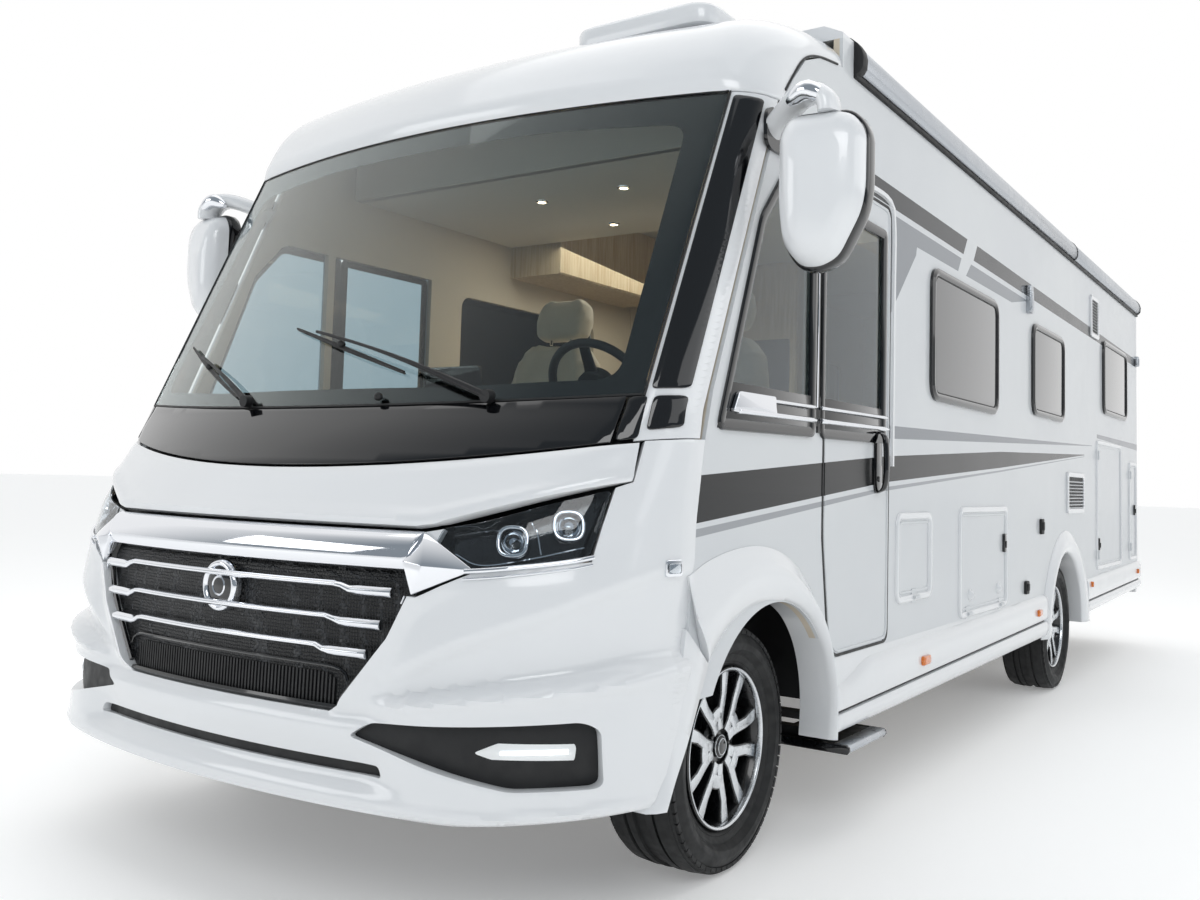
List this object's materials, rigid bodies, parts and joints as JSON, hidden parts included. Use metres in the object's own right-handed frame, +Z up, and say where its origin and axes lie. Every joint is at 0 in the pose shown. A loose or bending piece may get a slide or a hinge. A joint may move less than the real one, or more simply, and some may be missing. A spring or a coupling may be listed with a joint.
{
  "type": "motorhome",
  "caption": "White integrated motorhome with moulded front, large windscreen, dark side stripes, hinged doors and lockers, roof lights and steered alloy wheels.",
  "frame": {"origin": "on the ground under the middle of the vehicle's outline, mirrors included", "axes": "+Z up, +Y towards the rear, +X towards the vehicle's left, so the front faces -Y"},
  "size_m": [3, 7.85, 2.8863],
  "materials": {
    "white_grp": "gloss white moulded glass-fibre skin",
    "white_panel": "gloss white aluminium sandwich panel with dark grey stripes",
    "black_gloss": "gloss black moulded covers",
    "black_plastic": "moulded black plastic",
    "bright_trim": "bright chromed bars on a black grille",
    "clear_glass": "laminated windscreen with a dark printed border",
    "tinted_acrylic": "dark tinted acrylic",
    "lamp_lens": "clear polycarbonate lens",
    "anodised_rail": "anodised aluminium",
    "chassis_steel": "black coated steel",
    "engine_iron": "cast and painted",
    "alloy_rim": "black alloy with machined faces",
    "tyre_rubber": "tyre rubber",
    "cream_leather": "cream leather",
    "dash_plastic": "grained dark plastic",
    "cabinet_wood": "light laminated board",
    "floor_board": "plywood floor",
    "step_tread": "ribbed aluminium tread with a black rubber inlay"
  },
  "bodies": {
    "body": {"chassis_frame": "chassis_steel", "floor": "floor_board", "wheel_houses": "black_plastic", "left_wall": "white_panel", "right_wall": "white_panel", "rear_wall": "white_panel", "roof": "white_grp", "front_cap": "white_grp", "black_panels": "black_gloss", "windscreen": "clear_glass", "front_bumper": "white_grp", "grille": "bright_trim", "lamps": "lamp_lens", "side_windows": "tinted_acrylic", "side_skirts": "white_grp", "roof_rails": "anodised_rail", "mirrors": "white_grp", "wipers": "black_plastic", "rear_bumper": "white_grp", "engine": "engine_iron", "front_axle": "chassis_steel", "rear_axle": "chassis_steel", "seats": "cream_leather", "dashboard": "dash_plastic", "furniture": "cabinet_wood"},
    "bonnet": {"bonnet": "white_grp"},
    "driver_door": {"driver_door": "white_panel", "driver_window": "clear_glass"},
    "habitation_door": {"habitation_door": "white_panel"},
    "front_roof_hatch": {"front_roof_hatch": "tinted_acrylic"},
    "rear_roof_hatch": {"rear_roof_hatch": "tinted_acrylic"},
    "service_flap": {"service_flap": "white_panel"},
    "locker_door": {"locker_door": "white_panel"},
    "left_garage_door": {"left_garage_door": "white_panel"},
    "gas_locker_door": {"gas_locker_door": "white_panel"},
    "right_garage_door": {"right_garage_door": "white_panel"},
    "left_knuckle": {"left_knuckle": "chassis_steel"},
    "right_knuckle": {"right_knuckle": "chassis_steel"},
    "front_left_wheel": {"front_left_rim": "alloy_rim", "front_left_tyre": "tyre_rubber"},
    "front_right_wheel": {"front_right_rim": "alloy_rim", "front_right_tyre": "tyre_rubber"},
    "rear_left_wheel": {"rear_left_rim": "alloy_rim", "rear_left_tyre": "tyre_rubber"},
    "rear_right_wheel": {"rear_right_rim": "alloy_rim", "rear_right_tyre": "tyre_rubber"},
    "steering_wheel": {"steering_wheel": "dash_plastic"},
    "driver_step": {"driver_step": "step_tread"},
    "entry_step": {"entry_step": "step_tread"}
  },
  "joints": [
    {"name": "front_left_steer", "type": "hinge", "parent": "body", "child": "left_knuckle", "pos_m": [0.845, -2.815, 0.34], "axis": [0, 0, 1], "range_deg": [-35, 35]},
    {"name": "front_right_steer", "type": "hinge", "parent": "body", "child": "right_knuckle", "pos_m": [-0.845, -2.815, 0.34], "axis": [0, 0, 1], "range_deg": [-35, 35]},
    {"name": "front_left_spin", "type": "hinge", "parent": "left_knuckle", "child": "front_left_wheel", "pos_m": [0.905, -2.815, 0.369], "axis": [1, 0, 0], "continuous": true},
    {"name": "front_right_spin", "type": "hinge", "parent": "right_knuckle", "child": "front_right_wheel", "pos_m": [-0.905, -2.815, 0.369], "axis": [1, 0, 0], "continuous": true},
    {"name": "rear_left_spin", "type": "hinge", "parent": "body", "child": "rear_left_wheel", "pos_m": [0.99, 1.22, 0.369], "axis": [1, 0, 0], "continuous": true},
    {"name": "rear_right_spin", "type": "hinge", "parent": "body", "child": "rear_right_wheel", "pos_m": [-0.99, 1.22, 0.369], "axis": [1, 0, 0], "continuous": true},
    {"name": "steering_wheel_turn", "type": "hinge", "parent": "body", "child": "steering_wheel", "pos_m": [0.41, -2.685, 1.48], "axis": [0, 0.8192, 0.5736], "range_deg": [-530, 530]},
    {"name": "bonnet_hinge", "type": "hinge", "parent": "body", "child": "bonnet", "pos_m": [0, -3.613, 1.3825], "axis": [-1, 0, 0], "range_deg": [0, 55]},
    {"name": "driver_door_hinge", "type": "hinge", "parent": "body", "child": "driver_door", "pos_m": [1.172, -2.549, 1.4], "axis": [0, 0, -1], "range_deg": [0, 75]},
    {"name": "habitation_door_hinge", "type": "hinge", "parent": "body", "child": "habitation_door", "pos_m": [-1.172, -0.124, 1.5], "axis": [0, 0, 1], "range_deg": [0, 100]},
    {"name": "front_roof_hatch_hinge", "type": "hinge", "parent": "body", "child": "front_roof_hatch", "pos_m": [0.35, -2.345, 2.8303], "axis": [1, 0, 0], "range_deg": [0, 60]},
    {"name": "rear_roof_hatch_hinge", "type": "hinge", "parent": "body", "child": "rear_roof_hatch", "pos_m": [0, 0.185, 2.8303], "axis": [1, 0, 0], "range_deg": [0, 60]},
    {"name": "service_flap_hinge", "type": "hinge", "parent": "body", "child": "service_flap", "pos_m": [1.172, -1.565, 0.747], "axis": [0, 1, 0], "range_deg": [0, 90]},
    {"name": "locker_door_hinge", "type": "hinge", "parent": "body", "child": "locker_door", "pos_m": [1.172, -0.555, 0.621], "axis": [0, 1, 0], "range_deg": [0, 90]},
    {"name": "left_garage_door_hinge", "type": "hinge", "parent": "body", "child": "left_garage_door", "pos_m": [1.172, 2.192, 1.1], "axis": [0, 0, -1], "range_deg": [0, 100]},
    {"name": "right_garage_door_hinge", "type": "hinge", "parent": "body", "child": "right_garage_door", "pos_m": [-1.172, 2.192, 1.1], "axis": [0, 0, 1], "range_deg": [0, 100]},
    {"name": "gas_locker_door_hinge", "type": "hinge", "parent": "body", "child": "gas_locker_door", "pos_m": [1.172, 3.496, 1.05], "axis": [0, 0, -1], "range_deg": [0, 100]},
    {"name": "driver_step_slide", "type": "slide", "parent": "body", "child": "driver_step", "axis": [-1, 0, 0], "range_m": [0, 0.2]},
    {"name": "entry_step_slide", "type": "slide", "parent": "body", "child": "entry_step", "axis": [-1, 0, 0], "range_m": [0, 0.25]}
  ],
  "couplings": [
    {"joint": "front_right_steer", "follows": "front_left_steer", "ratio": 1},
    {"joint": "steering_wheel_turn", "follows": "front_left_steer", "ratio": 15}
  ]
}
